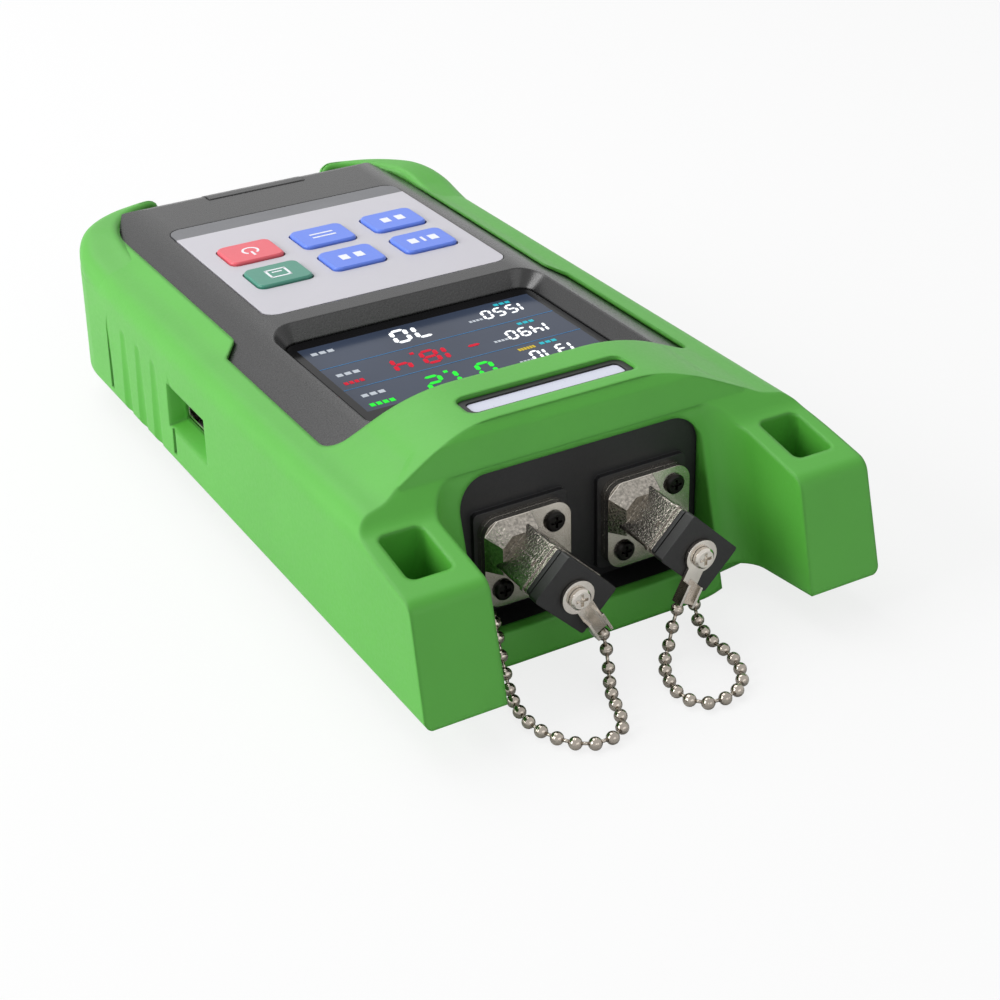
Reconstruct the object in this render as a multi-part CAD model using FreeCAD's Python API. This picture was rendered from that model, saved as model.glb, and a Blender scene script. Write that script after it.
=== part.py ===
"""Handheld optical power meter with two SC ports, in a rubber protective boot.

The meter lies on its back. +X is across the meter, +Y runs from the port end to the
far end, +Z is up. The origin is on the base, midway along the boot. All solids are
built with Y measured from the front of the boot's ears, and moved on export.
"""
import FreeCAD, Part
import math
import os

V = FreeCAD.Vector

# ---------------------------------------------------------------- boot
length = 180.0            # ear fronts to the far end
housing_half = 42.2       # shells, at their widest
boot_wall = 4.3
half_width = housing_half + boot_wall
ridge_height = 41.5       # boot, over the port end
boot_floor = 3.0          # thickness under the housing
bevel_foot = 22.5         # where the base turns up towards the parting line
parting_z = 7.3
side_draft = 0.8
rim_out_z = 33.1          # outer edge of the rims
rim_in_z = 34.2           # inner edge of the near rims
rim_far_z = 34.4          # far end's outer edge
crown_half = 22.0
boot_gap = 0.15           # boot to housing
far_radius = 24.0         # far corners in plan
ear_width = 15.2
ear_inner = half_width - ear_width     # inner faces of the ears
ear_lean, ear_front_top = 5.0, 28.0    # the ears' sloping fronts and tops
ear_back, ear_back_top = 23.5, 31.4
crest_foot = 36.0
crown_radius = 40.0
end_fall_y, end_fall = 170.0, 4.3      # where the rims fall towards the far end
ear_under = 7.0           # underside of the ears above the base
face_foot = 18.3          # front face between the ears, at the base
face_lean = 0.27          # how far that face leans back for each mm of height
face_corner = 6.0         # upright corners between that face and the ears
lip_height = 6.0          # sill of the port window
lip_thick = 2.3
window_half = 25.1        # port window in the boot
window_top = 33.9
window_corner = 6.0
ridge_y = 31.5            # crest over the port window
pocket_x0, pocket_x1 = half_width - 12.0, half_width - 3.6
pocket_y0, pocket_y1 = 10.4, 22.4
pocket_floor = 12.0
open_front = 48.5         # near edge of the top opening
open_half_near = housing_half - 3.5
open_half_far = housing_half - 7.0
open_step = 95.5          # where the opening narrows
open_end = 176.5
end_gap_half = 20.0       # gap in the boot's far wall
end_gap_floor = 22.0
rear_window = (46.0, 58.0, 122.0)      # width, length, centre in Y
grip_y, grip_pitch, grip_depth = 126.5, 8.7, 0.9
groove_r, grip_top = 3.4, 25.0

# ---------------------------------------------------------------- housing
housing_top = 38.2
housing_front = 30.2      # front edge of the shells, at the port panel's back
housing_end = 175.5
housing_corner = 20.0
end_round = 7.0           # far top edge
wall = 2.2
split_z = 24.0
post_x, post_y0, post_y1, post_r = 24.0, 39.5, 162.0, 3.2
shell_screw_r, shell_head_r, shell_head_z = 1.0, 2.1, 4.4
board_post_x, board_post_y0, board_post_y1 = 26.0, 60.0, 92.0
board_screw_r = 1.0
panel_thick = 2.2
usb_y, usb_z = 104.5, 19.0
usb_w, usb_h, usb_deep = 8.6, 4.5, 9.0
usb_proud = 0.3           # socket, past the housing's side
door_w, door_l, door_y = 40.0, 50.0, 122.0
door_ledge, door_thick = 1.2, 1.1
door_gap = 0.15
door_screw_in = 5.0       # from the door's near edge
door_screw_r, door_head_h = 2.0, 0.9
cell_r, cell_l, cell_pitch = 6.6, 46.0, 13.3
plug_half, plug_deep, plug_high = 11.8, 8.4, 4.6     # rubber plug in the far edge
label_half, label_y0, label_y1 = 17.2, 35.3, 41.9
label_rim = 1.3

# ---------------------------------------------------------------- display and keypad
screen_half = 27.6
screen_y0, screen_y1 = 48.0, 93.2
screen_z = 34.2           # top of the window
window_glass = 1.2
bezel_half = 31.0
bezel_y0, bezel_y1 = 46.0, 94.4
lcd_size = (58.0, 46.0, 3.2)
keypad_half = 27.4
keypad_y0, keypad_y1 = 99.7, 153.6
overlay_thick = 0.5
key_pitch_x, key_pitch_y = 16.9, 14.3
key_centre_y = 124.9
key_w, key_l, key_r = 12.2, 10.0, 1.8
key_proud = 0.7
key_gap = 0.25
key_travel = 0.4
key_flange = 0.8          # rim that keeps a key in its hole
stem_r = 1.6
board_z = 26.0
board_thick = 1.6
dome_height = 0.5

# ---------------------------------------------------------------- ports
port_pitch = 25.3
port_z = 17.2
flange_side = 17.5
flange_corner = 3.2
flange_thick = 1.3
base_plate = 1.2
pad_side, pad_thick = 18.9, 1.1
screw_offset = 5.3        # flange screws, along X and Z from the port axis
screw_r, screw_head_r, screw_head_h = 1.0, 1.95, 0.9
body_long, body_short = 12.8, 9.3      # adapter body, its long side across the screws
body_length = 12.0
bore_long, bore_short = 9.0, 7.4
fit = 0.1                 # running clearance of the dust cap's plug
block_height = 3.0        # raised corner of the flange
block_taper = 0.78
sleeve_r, sleeve_bore, sleeve_length = 1.6, 1.25, 9.0
spigot_r = 4.6

# ---------------------------------------------------------------- dust caps
cap_long, cap_short, cap_plate = 13.3, 9.8, 2.3
collar_thick, neck_thick = 0.9, 0.5
plug_length = 8.0
cap_screw_r, cap_head_r, cap_head_h = 1.2, 2.0, 1.1
lug_r, lug_bore, lug_thick = 3.15, 1.45, 0.7
lug_reach, lug_width = 9.2, 3.4
lug_gap = 0.1
lug_angle_left, lug_angle_right = 29.0, -27.0

# ---------------------------------------------------------------- ball chains
bead_r = 1.2
bead_pitch = 3.3
link_r = 0.35
anchor_x, anchor_z, anchor_r = 20.6, 7.0, 0.9        # chain holes in the port panel

past = 60.0               # further out than any face, for cutting tools

panel_front = housing_front - panel_thick
pad_front = panel_front - pad_thick
flange_back = pad_front - base_plate
flange_front = flange_back - flange_thick
body_front = flange_front - body_length
cap_back = body_front - fit
plate_back = cap_back - collar_thick - neck_thick
plate_front = plate_back - cap_plate
lug_back = plate_front - lug_gap
head_back = lug_back - lug_thick - lug_gap


# ---------------------------------------------------------------- helpers
def box(x0, x1, y0, y1, z0, z1):
    return Part.makeBox(x1 - x0, y1 - y0, z1 - z0, V(x0, y0, z0))


def prism(points, vector):
    """Extrude a closed polygon of 3-D points."""
    return Part.Face(Part.makePolygon(points + points[:1])).extrude(vector)


def side_prism(points, x0, x1):
    """A (y, z) outline carried from x0 to x1."""
    return prism([V(x0, y, z) for y, z in points], V(x1 - x0, 0, 0))


def rounded(x0, x1, y0, y1, z0, z1, r):
    """An upright block with its four upright edges rounded."""
    block = box(x0, x1, y0, y1, z0, z1)
    edges = [e for e in block.Edges if abs(e.tangentAt(e.FirstParameter).z) > 0.99]
    return block.makeFillet(r, edges)


def rounded_wire(half_x, y0, y1, z, r):
    """Closed rounded rectangle, symmetric in X, at height z."""
    top = rounded(-half_x, half_x, y0, y1, z - 1.0, z, r)
    face = max(top.Faces, key=lambda f: f.CenterOfMass.z)
    return face.OuterWire


def along_y(shape, angle, x, z, y):
    """Turn a shape made about the Y axis and put its axis at x, z."""
    turned = shape.copy()
    turned.rotate(V(0, 0, 0), V(0, 1, 0), angle)
    turned.translate(V(x, y, z))
    return turned


def cylinder_y(r, y0, y1, x=0.0, z=0.0):
    return Part.makeCylinder(r, y1 - y0, V(x, y0, z), V(0, 1, 0))


def block_y(w, h, y0, y1, r):
    """A block along Y, centred on the axis, with rounded long edges."""
    block = box(-w / 2, w / 2, y0, y1, -h / 2, h / 2)
    edges = [e for e in block.Edges if abs(e.tangentAt(e.FirstParameter).y) > 0.99]
    return block.makeFillet(r, edges)


def cross_recess(size, depth, y_face):
    """Cross recess cut into a head whose face is at y_face."""
    bar = box(-size / 2, size / 2, y_face - 1, y_face + depth, -size / 8, size / 8)
    other = box(-size / 8, size / 8, y_face - 1, y_face + depth, -size / 2, size / 2)
    return bar.fuse(other)


def mirrored(shape):
    return shape.mirror(V(0, 0, 0), V(1, 0, 0))


def port_x(side):
    return side * port_pitch / 2


# ---------------------------------------------------------------- envelopes
def outline_wire(corners, place):
    """Closed wire through corners (u, v, radius), each corner rounded by its radius.

    place turns a flat point into its place in space.
    """
    count = len(corners)
    edges = []
    last = None
    for i in range(count + 1):
        u, v, r = corners[i % count]
        here = V(u, v, 0)
        before = V(*corners[(i - 1) % count][:2], 0) - here
        after = V(*corners[(i + 1) % count][:2], 0) - here
        before.normalize()
        after.normalize()
        if r > 0:
            half = before.getAngle(after) / 2
            reach = r / math.tan(half)
            start = here + before * reach
            end = here + after * reach
            bisector = before + after
            bisector.normalize()
            mid = here + bisector * (r / math.sin(half) - r)
        else:
            start = end = here
        if last is not None:
            edges.append(Part.makeLine(place(last), place(start)))
        if r > 0 and i < count:
            edges.append(Part.Arc(place(start), place(mid), place(end)).toShape())
        last = end
    return Part.Wire(edges)


def grown(wire, by):
    return wire if by == 0 else wire.makeOffset2D(by, 2)


def section_prism(half, y0, y1, grow=0.0):
    """Cross-section from its right half, foot to crown, carried along Y."""
    corners = half + [(-x, z, r) for x, z, r in reversed(half)]
    wire = grown(outline_wire(corners, lambda p: V(p.x, y0, p.y)), grow)
    return Part.Face(wire).extrude(V(0, y1 - y0, 0))


def profile_prism(corners, grow=0.0):
    """Side view (y, z) carried across the whole width."""
    wire = grown(outline_wire(corners, lambda p: V(-70.0, p.x, p.y)), grow)
    return Part.Face(wire).extrude(V(140.0, 0, 0))


def plan_prism(corners, grow=0.0):
    """Plan view (x, y) carried up through the whole height."""
    wire = grown(outline_wire(corners, lambda p: V(p.x, p.y, -5.0)), grow)
    return Part.Face(wire).extrude(V(0, 0, 70.0))


def boot_section(y0, y1):
    half = [(bevel_foot, 0.0, 18.0), (half_width, parting_z, 1.6),
            (half_width - side_draft, rim_out_z, 4.6), (open_half_near, rim_in_z, 8.0),
            (crown_half, ridge_height, crown_radius)]
    return section_prism(half, y0, y1)


def housing_parts(grow=0.0):
    """The three views of the housing, whose common part is its form."""
    top = housing_top
    half = [(bevel_foot, boot_floor, 10.0), (housing_half, parting_z + 1.0, 2.5),
            (housing_half - 0.1, rim_in_z - 6.6, 3.0), (open_half_near + 1.4, rim_in_z - 1.7, 5.0),
            (29.0, top, 14.0)]
    section = section_prism(half, 0.0, length + 20.0, grow)
    plan = plan_prism([(-housing_half - 5.0, 0.0, 0.0), (housing_half + 5.0, 0.0, 0.0),
                       (housing_half + 0.5, housing_end, housing_corner),
                       (-housing_half - 0.5, housing_end, housing_corner)], grow)
    side = profile_prism([(panel_front, boot_floor - 3.0, 0.0), (panel_front, window_top + 0.6, 1.0),
                          (housing_front + 5.6, top + 0.6, 6.0), (housing_end, top, end_round),
                          (housing_end, parting_z, 2.0),
                          (housing_end - 14.0, boot_floor - 0.5, 4.0)], grow)
    return section, plan, side


def housing_envelope(grow=0.0, y0=None):
    """The two shells together, or the room inside or around them."""
    section, plan, side = housing_parts(grow)
    block = section.common(plan).common(side)
    return block if y0 is None else block.common(box(-70, 70, y0, length + 10.0, -5, past))


# ---------------------------------------------------------------- boot
def boot_outer():
    body = boot_section(0.0, length + 20.0)
    plan = plan_prism([(-half_width - 1.0, -30.0, 0.0), (half_width + 1.0, -30.0, 0.0),
                       (half_width + 0.3, length + 0.3, far_radius),
                       (-half_width - 0.3, length + 0.3, far_radius)])
    # side view: ears, their sloping tops, the crest over the window and the far end
    top = ridge_height + 0.5
    side = profile_prism([(0.0, -3.0, 0.0), (0.0, ear_under, 1.0), (ear_lean, ear_front_top, 3.0),
                          (ear_back, ear_back_top, 6.0), (crest_foot, top, 6.0),
                          (end_fall_y - 12.0, top, 20.0), (end_fall_y, ridge_height - end_fall, 16.0),
                          (length - side_draft, rim_far_z, 4.6),
                          (length, parting_z, 1.6),
                          (length - 14.0, -0.4, 6.0), (length - 40.0, -3.0, 0.0)])
    body = body.common(plan).common(side)
    for way in (-1, 1):
        body = body.cut(far_corner(way))
    return body


def far_corner(way):
    """What lies outside one far corner, whose outline is turned about an upright axis."""
    r = far_radius
    x = half_width - r
    y = length - r
    rim = half_width - open_half_near
    core = 1.0
    outline = [(core, -core, 0.0), (core, 0.3, 0.0), (r, parting_z, 1.6), (r - side_draft, rim_far_z, 5.0),
               (r - rim, rim_far_z + 1.5, 8.0), (core, ridge_height, 0.0), (core, past, 0.0),
               (past, past, 0.0), (past, -core, 0.0)]
    wire = outline_wire(outline, lambda p: V(x + p.x, y, p.y))
    tool = Part.Face(wire).revolve(V(x, y, 0), V(0, 0, 1), 90)
    return tool if way > 0 else mirrored(tool)


def front_recess():
    """Room between the ears, with a leaning back face, up to the window's top."""
    rise = window_top + 1.0
    between = rounded(-ear_inner, ear_inner, -40.0, face_foot, 0.0, 1.0, face_corner)
    foot = min(between.Faces, key=lambda f: f.CenterOfMass.z)
    leaning = foot.extrude(V(0, face_lean * rise, rise)).translated(V(0, 0, -0.01))
    below = foot.extrude(V(0, 0, -3.0))
    above = foot.translated(V(0, face_lean * rise, rise)).extrude(V(0, 0, 40.0))
    return [leaning, below, above]


def crest():
    """The roof over the port window, with its sloping front."""
    face_y = face_foot + face_lean * (window_top + 1.0)
    outline = [(face_y, window_top), (face_y, window_top + 1.0), (ridge_y - 1.2, 39.6),
               (ridge_y + 0.4, ridge_height - 0.3), (ridge_y + 2.0, past), (40.0, past),
               (40.0, window_top)]
    return side_prism(outline, -ear_inner - 4.0, ear_inner + 4.0).common(boot_section(20.0, 40.0))


def ear_underside():
    outline = [(-1.0, -1.0), (-1.0, ear_under), (face_foot + 1.5, ear_under - 2.0),
               (face_foot + 6.0, -1.0)]
    under = side_prism(outline, ear_inner - 6.0, past)
    return under.fuse(mirrored(under))


def port_window():
    top = rounded(-window_half, window_half, 0.0, window_top, 0.0, 40.0, window_corner)
    top.rotate(V(0, 0, 0), V(1, 0, 0), 90)
    top.translate(V(0, 40.0, 0))
    return top.common(box(-past, past, 0, panel_front + boot_gap, lip_height, past))


def sill_room():
    """Space behind the lip, where the port panel's sill lies."""
    return box(-window_half, window_half, face_foot + lip_thick + 1.6, panel_front + boot_gap,
               lip_height - 1.4, lip_height + 1.0)


def ear_pocket():
    pocket = rounded(pocket_x0, pocket_x1, pocket_y0, pocket_y1, pocket_floor, past, 1.6)
    return pocket.fuse(mirrored(pocket))


def top_opening():
    """Opening in plan: wide near rims, a rounded step on both sides, narrower far rims."""
    near, far, y = open_half_near, open_half_far, open_step
    right = [(near, open_front, 4.0), (near, y - 1.2, 1.2), (far, y + 2.8, 2.2), (far, open_end, 17.0)]
    left = [(-x, v, r) for x, v, r in reversed(right)]
    return plan_prism(right + left).common(box(-past, past, 0, length, 20, 65))


def end_gap():
    gap = box(-end_gap_half, end_gap_half, housing_end - 8.0, length + 5.0, end_gap_floor, past)
    edges = [e for e in gap.Edges if abs(e.tangentAt(e.FirstParameter).y) > 0.99
             and e.CenterOfMass.z < end_gap_floor + 1.0]
    return gap.makeFillet(5.0, edges)


def usb_pocket():
    """Tapered recess in the left wall that leads to the USB socket."""
    outer = Part.makePolygon([V(-half_width - 1.0, y, z) for y, z in
                              [(usb_y - 16.8, usb_z - 4.6), (usb_y + 6.2, usb_z - 4.6),
                               (usb_y + 6.2, usb_z + 6.0), (usb_y - 16.8, usb_z + 6.0),
                               (usb_y - 16.8, usb_z - 4.6)]])
    inner = Part.makePolygon([V(-housing_half - 0.4, y, z) for y, z in
                              [(usb_y - 6.2, usb_z - 3.2), (usb_y + 5.0, usb_z - 3.2),
                               (usb_y + 5.0, usb_z + 3.6), (usb_y - 6.2, usb_z + 3.6),
                               (usb_y - 6.2, usb_z - 3.2)]])
    room = Part.makeLoft([inner, outer], True, True)
    hole = box(-half_width, -housing_half + 2.0, usb_y - 4.6, usb_y + 4.6, usb_z - 2.8, usb_z + 2.8)
    return room.fuse(hole)


def grip_grooves(side):
    """Three scooped grooves with round tops in one side wall, and an arch around them."""
    cuts = []
    axis_x = side * (half_width - grip_depth + groove_r)
    for i in (-1, 0, 1):
        y = grip_y + i * grip_pitch
        groove = Part.makeCylinder(groove_r, grip_top - 6.0, V(axis_x, y, 6.0))
        cuts.append(groove.fuse(Part.makeSphere(groove_r, V(axis_x, y, grip_top))))
    x0 = side * (half_width - 0.6)
    x1 = side * (half_width + 2.0)
    reach = grip_pitch * 2.2
    outer = rounded_side(grip_y - reach, grip_y + reach, -10.0, 31.5, 9.0, x0, x1)
    inner = rounded_side(grip_y - reach + 1.5, grip_y + reach - 1.5, -12.0, 30.0, 7.5, x0, x1)
    cuts.append(outer.cut(inner).common(box(-past, past, 0, length, parting_z + 2.0, past)))
    return cuts


def rounded_side(y0, y1, z0, z1, r, x0, x1):
    block = box(min(x0, x1), max(x0, x1), y0, y1, z0, z1)
    edges = [e for e in block.Edges if abs(e.tangentAt(e.FirstParameter).x) > 0.99]
    return block.makeFillet(r, edges)


def label_seat(grow, z0):
    half = label_half + grow
    return rounded(-half, half, label_y0 - grow, label_y1 + grow, z0, past, 2.0)


def protective_boot():
    body = boot_outer()
    for tool in front_recess():
        body = body.cut(tool)
    body = body.fuse(crest()).removeSplitter()
    body = body.cut(ear_underside())
    body = body.cut(housing_envelope(boot_gap))
    body = body.cut(top_opening()).cut(end_gap())
    body = body.cut(port_window()).cut(sill_room()).cut(ear_pocket())
    body = body.cut(usb_pocket())
    for side in (-1, 1):
        for groove in grip_grooves(side):
            body = body.cut(groove)
    body = body.cut(label_seat(boot_gap, housing_top + boot_gap + 1.0))
    w, l, yc = rear_window
    body = body.cut(rounded(-w / 2, w / 2, yc - l / 2, yc + l / 2, -1.0, boot_floor + 0.5, 4.0))
    return body


# ---------------------------------------------------------------- housing

def key_places():
    """Name and centre of each key, seen from the port end."""
    names = [("power_key", -1, 1), ("menu_key", 0, 1), ("enter_key", 1, 1),
             ("save_key", -1, -1), ("wavelength_key", 0, -1), ("reference_key", 1, -1)]
    return [(n, i * key_pitch_x, key_centre_y + j * key_pitch_y / 2) for n, i, j in names]


def shell_body():
    """Hollow body of both shells, open at the port end."""
    outer = housing_envelope(0.0, housing_front)
    inner = housing_envelope(-wall)
    return outer.cut(inner)


def bezel_funnel():
    top = rounded_wire(bezel_half + 0.8, bezel_y0 - 0.8, bezel_y1 + 0.5, housing_top + 0.8, 7.0)
    low = rounded_wire(screen_half, screen_y0, screen_y1, screen_z, 3.0)
    return Part.makeLoft([low, top], True, True)


def screen_collar():
    """Frame moulded under the top wall, which carries the display window."""
    return rounded(-bezel_half - 2.4, bezel_half + 2.4, bezel_y0 - 2.6, bezel_y1 + 2.2,
                   lcd_top() - 2.0, housing_top - 1.0, 8.0)


def lcd_top():
    return screen_z - window_glass


def window_seat():
    seat = rounded(-screen_half - 1.6, screen_half + 1.6, screen_y0 - 1.6, screen_y1 + 1.2,
                   lcd_top() - 5.0, screen_z, 3.0)
    hole = rounded(-screen_half, screen_half, screen_y0, screen_y1, lcd_top(), screen_z + 1.0, 3.0)
    w, l, h = lcd_size
    yc = (screen_y0 + screen_y1) / 2
    module = box(-w / 2 - 0.2, w / 2 + 0.2, yc - l / 2 - 0.2, yc + l / 2 + 0.2, 20.0, lcd_top() - 0.6)
    return seat.fuse(hole).fuse(module)


def screw_posts():
    return [(side * post_x, y) for side in (-1, 1) for y in (post_y0, post_y1)]


def board_posts():
    return [(side * board_post_x, y) for side in (-1, 1) for y in (board_post_y0, board_post_y1)]


def front_shell():
    shell = shell_body()
    shell = shell.fuse(screen_collar().common(housing_envelope(-wall / 2)))
    shell = shell.common(box(-past, past, 0, length, split_z, past))
    shell = shell.cut(bezel_funnel()).cut(window_seat())
    recess = rounded(-keypad_half - 0.2, keypad_half + 0.2, keypad_y0 - 0.2, keypad_y1 + 0.2,
                     housing_top - overlay_thick, past, 3.2)
    shell = shell.cut(recess)
    g = key_gap
    for _, x, y in key_places():
        shell = shell.cut(rounded(x - key_w / 2 - g, x + key_w / 2 + g, y - key_l / 2 - g,
                                  y + key_l / 2 + g, 20.0, past, key_r))
    shell = shell.cut(end_plug_seat(0.15))
    inside = housing_envelope(-wall / 2)
    for x, y in screw_posts():
        post = Part.makeCylinder(post_r, 30.0, V(x, y, split_z)).common(inside)
        pilot = Part.makeCylinder(shell_screw_r, 5.0, V(x, y, split_z - 0.5))
        shell = shell.fuse(post).cut(pilot)
    return shell


def rear_shell():
    shell = shell_body()
    shell = shell.common(box(-past, past, 0, length, 0, split_z))
    inside = housing_envelope(-wall / 2)
    for x, y in screw_posts():
        post = Part.makeCylinder(post_r, split_z, V(x, y, 0)).common(inside)
        shell = shell.fuse(post)
        shell = shell.cut(Part.makeCylinder(shell_screw_r + 0.15, past, V(x, y, 0)))
        shell = shell.cut(Part.makeCylinder(shell_head_r + 0.2, shell_head_z + 1.3, V(x, y, 0)))
    for x, y in board_posts():
        post = Part.makeCylinder(2.6, board_z, V(x, y, 0)).common(inside.fuse(
            box(-past, past, 0, length, split_z - 1, board_z)))
        shell = shell.fuse(post).cut(Part.makeCylinder(board_screw_r, 5.0, V(x, y, board_z - 4.0)))
    seat = usb_body(0.15)
    shell = shell.cut(seat)
    bay = door_block(0.0, 0.0, boot_floor + 4.0, 1.0)
    ledge = door_block(door_ledge, 0.0, boot_floor + door_thick + 0.1, 0.6)
    return shell.cut(bay).cut(ledge)


def door_block(grow, z0, z1, r):
    w = door_w / 2 + grow
    l = door_l / 2 + grow
    return rounded(-w, w, door_y - l, door_y + l, z0, z1, r)


def battery_door():
    lower = boot_floor + door_thick
    door = door_block(door_ledge - door_gap, boot_floor, lower, 0.8)
    door = door.fuse(door_block(-door_gap, lower, lower + door_head_h, 1.5))
    grip, groove = 2.2, 1.0
    for i in range(5):
        y = door_y + door_l / 2 - door_screw_in - grip * i
        door = door.cut(box(-8.0, 8.0, y - groove / 2, y + groove / 2, 0.0, boot_floor + groove / 2))
    seat = Part.makeCylinder(door_screw_r + door_gap, door_head_h + 0.1, V(0, door_screw_y(), boot_floor))
    return door.cut(seat)


def door_screw_y():
    return door_y - door_l / 2 + door_screw_in


def door_screw():
    y = door_screw_y()
    head = Part.makeCylinder(door_screw_r, door_head_h, V(0, y, boot_floor))
    return head.cut(box(-1.4, 1.4, y - 0.25, y + 0.25, 0, boot_floor + 0.5))


def end_plug_seat(grow):
    """Recess in the far edge of the front shell for the end plug."""
    half = plug_half + grow
    return box(-half, half, housing_end - plug_deep - grow, housing_end + 5.0,
               housing_top - plug_high - grow, housing_top + 5.0)


def end_plug():
    """Rubber plug that stands a little proud of the housing's far edge."""
    return end_plug_seat(0.0).common(housing_envelope(0.12))


def port_panel():
    """End plate with two square pads, port holes, screw holes and the sill."""
    plate = housing_envelope(-0.05).common(box(-past, past, 0, housing_front - 0.05, 0, past))
    for side in (-1, 1):
        x = port_x(side)
        pad = block_y(pad_side, pad_side, pad_front, panel_front + 0.5, 1.0)
        plate = plate.fuse(pad.translated(V(x, 0, port_z)))
        plate = plate.cut(cylinder_y(spigot_r + 0.1, 0.0, past, x, port_z))
        for s in (-1, 1):
            plate = plate.cut(cylinder_y(screw_r + 0.05, 0.0, past, x + s * screw_offset,
                                         port_z + s * screw_offset))
    sill = box(-window_half + 0.2, window_half - 0.2, face_foot + lip_thick + 1.8, panel_front + 0.5,
               lip_height - 1.2, lip_height - 0.3)
    plate = plate.fuse(sill)
    for side in (-1, 1):
        plate = plate.cut(cylinder_y(anchor_r, panel_front - 1.0, past, side * anchor_x, anchor_z))
    return plate.removeSplitter()


# ---------------------------------------------------------------- display and keypad
def display_window():
    g = 0.1
    lower = rounded(-screen_half - 1.6 + g, screen_half + 1.6 - g, screen_y0 - 1.6 + g,
                    screen_y1 + 1.2 - g, lcd_top() - 0.6, lcd_top() - g, 3.0)
    upper = rounded(-screen_half + g, screen_half - g, screen_y0 + g, screen_y1 - g,
                    lcd_top() - g - 0.01, screen_z, 3.0)
    return lower.fuse(upper).removeSplitter()


def lcd_module():
    w, l, h = lcd_size
    yc = (screen_y0 + screen_y1) / 2
    top = lcd_top() - 0.7
    frame = box(-w / 2, w / 2, yc - l / 2, yc + l / 2, top - h, top)
    glass = box(-w / 2 + 1.5, w / 2 - 1.5, yc - l / 2 + 1.5, yc + l / 2 - 1.5, top - 0.4, top + 0.1)
    return frame.cut(glass)


def keypad_overlay():
    top = housing_top
    sheet = rounded(-keypad_half, keypad_half, keypad_y0, keypad_y1, top - overlay_thick, top, 3.0)
    g = key_gap
    for _, x, y in key_places():
        sheet = sheet.cut(rounded(x - key_w / 2 - g, x + key_w / 2 + g, y - key_l / 2 - g,
                                  y + key_l / 2 + g, top - 2.0, top + 1.0, key_r))
    return sheet


def key_cap(x, y):
    top = housing_top + key_proud
    underside = housing_top - wall - 0.15
    cap = rounded(x - key_w / 2, x + key_w / 2, y - key_l / 2, y + key_l / 2,
                  underside - key_flange, top, key_r)
    upper = [e for e in cap.Edges if e.CenterOfMass.z > top - 0.01]
    cap = cap.makeChamfer(0.3, upper)
    rim = rounded(x - key_w / 2 - 0.9, x + key_w / 2 + 0.9, y - key_l / 2 - 0.9, y + key_l / 2 + 0.9,
                  underside - key_flange, underside, key_r)
    foot = board_z + board_thick + dome_height + key_travel + 0.1
    stem = Part.makeCylinder(stem_r, underside - key_flange - foot + 0.2, V(x, y, foot))
    return cap.fuse(rim).fuse(stem)


def key_domes():
    z = board_z + board_thick
    domes = []
    for _, x, y in key_places():
        domes.append(Part.makeCone(3.0, 1.8, dome_height, V(x, y, z)))
    return Part.makeCompound(domes)


# ---------------------------------------------------------------- inside
def main_board():
    board = box(-36.0, 36.0, 38.0, 160.0, board_z, board_z + board_thick)
    for x, y in screw_posts():
        board = board.cut(Part.makeCylinder(post_r + 0.6, 10.0, V(x, y, board_z - 4.0)))
    for x, y in board_posts():
        board = board.cut(Part.makeCylinder(board_screw_r + 0.1, 10.0, V(x, y, board_z - 4.0)))
    return board


def board_screws():
    screws = []
    for x, y in board_posts():
        head = Part.makeCylinder(1.9, 1.0, V(x, y, board_z + board_thick))
        shank = Part.makeCylinder(board_screw_r, board_thick + 3.5, V(x, y, board_z - 3.4))
        screws.append(head.fuse(shank))
    return Part.makeCompound(screws)


def battery_pack():
    cells = []
    for i in (-1, 0, 1):
        start = V(i * cell_pitch, door_y - cell_l / 2, boot_floor + cell_r + 2.6)
        cells.append(Part.makeCylinder(cell_r, cell_l, start, V(0, 1, 0)))
    return Part.makeCompound(cells)


def battery_contacts():
    y = door_y + cell_l / 2 + 0.3
    strips = []
    for x0 in (-19.0, 1.0):
        strips.append(box(x0, x0 + 18.0, y, y + 0.5, boot_floor + 3.5, boot_floor + 14.0))
    return Part.makeCompound(strips)


def shell_screws():
    screws = []
    for x, y in screw_posts():
        head = Part.makeCylinder(shell_head_r, 1.3, V(x, y, shell_head_z))
        shank = Part.makeCylinder(shell_screw_r, split_z + 4.0 - shell_head_z, V(x, y, shell_head_z))
        cross = box(-1.3, 1.3, -0.25, 0.25, 0, 0.7).fuse(box(-0.25, 0.25, -1.3, 1.3, 0, 0.7))
        screws.append(head.fuse(shank).cut(cross.translated(V(x, y, shell_head_z - 0.1))))
    return Part.makeCompound(screws)


def display_cable():
    """Flat cable from the display down to the board."""
    low, top = board_z + board_thick, lcd_top() - 0.7 - lcd_size[2]
    y = screen_y0 + 4.0
    outline = [(y, low), (y, top), (y + 10.0, top), (y + 10.0, top - 0.2), (y + 0.2, top - 0.2),
               (y + 0.2, low)]
    return side_prism(outline, -9.0, 9.0)


def usb_body(grow):
    w, h = usb_w / 2 + grow, usb_h / 2 + grow
    x0 = -housing_half - usb_proud - grow
    return box(x0, x0 + usb_deep + 2 * grow, usb_y - w, usb_y + w, usb_z - h, usb_z + h)


def usb_socket():
    shell = usb_body(0.0)
    x0 = -housing_half - usb_proud
    room = box(x0 - 1, x0 + usb_deep - 1.0, usb_y - usb_w / 2 + 0.5, usb_y + usb_w / 2 - 0.5,
               usb_z - usb_h / 2 + 0.45, usb_z + usb_h / 2 - 0.45)
    return shell.cut(room)


def usb_tongue():
    x0 = -housing_half + 0.9
    return box(x0, x0 + usb_deep - 2.2, usb_y - 2.3, usb_y + 2.3, usb_z - 0.45, usb_z + 0.45)


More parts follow.
